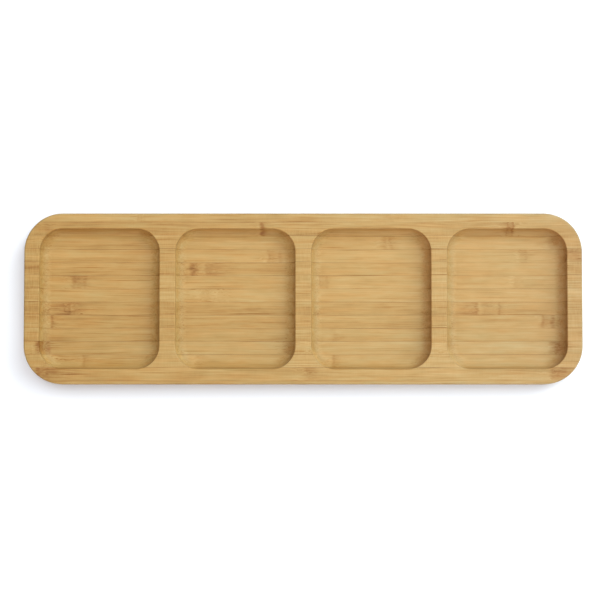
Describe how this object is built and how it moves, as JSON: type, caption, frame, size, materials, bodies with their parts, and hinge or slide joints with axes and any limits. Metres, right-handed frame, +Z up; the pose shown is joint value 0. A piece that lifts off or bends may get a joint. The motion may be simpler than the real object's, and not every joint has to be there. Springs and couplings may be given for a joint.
{
  "type": "divided compartment plate",
  "caption": "Long rounded bamboo serving plate of edge-glued strips, with a row of square coved compartments routed into its top to keep snacks and dips apart.",
  "frame": {"origin": "centre of the flat underside, on the surface that the plate rests on", "axes": "+X along the plate's length and the bamboo grain, +Y across it to the back edge, +Z up out of the compartments"},
  "size_m": [0.39, 0.1194, 0.018],
  "materials": {
    "bamboo_pale": "pale natural bamboo, sanded along the grain, thin satin food-safe oil",
    "bamboo_honey": "honey natural bamboo, sanded along the grain, thin satin food-safe oil",
    "bamboo_amber": "amber natural bamboo, sanded along the grain, thin satin food-safe oil",
    "glue": "cured brown wood glue, sanded flush"
  },
  "bodies": {
    "root": {"strip_01_back_edge": "bamboo_honey", "strip_02": "bamboo_amber", "strip_03": "bamboo_honey", "strip_04": "bamboo_pale", "strip_05": "bamboo_honey", "strip_06": "bamboo_honey", "strip_07": "bamboo_pale", "strip_08": "bamboo_amber", "strip_09": "bamboo_honey", "strip_10": "bamboo_honey", "strip_11": "bamboo_pale", "strip_12": "bamboo_pale", "strip_13": "bamboo_honey", "strip_14_front_edge": "bamboo_amber", "glue_lines": "glue"}
  },
  "joints": []
}
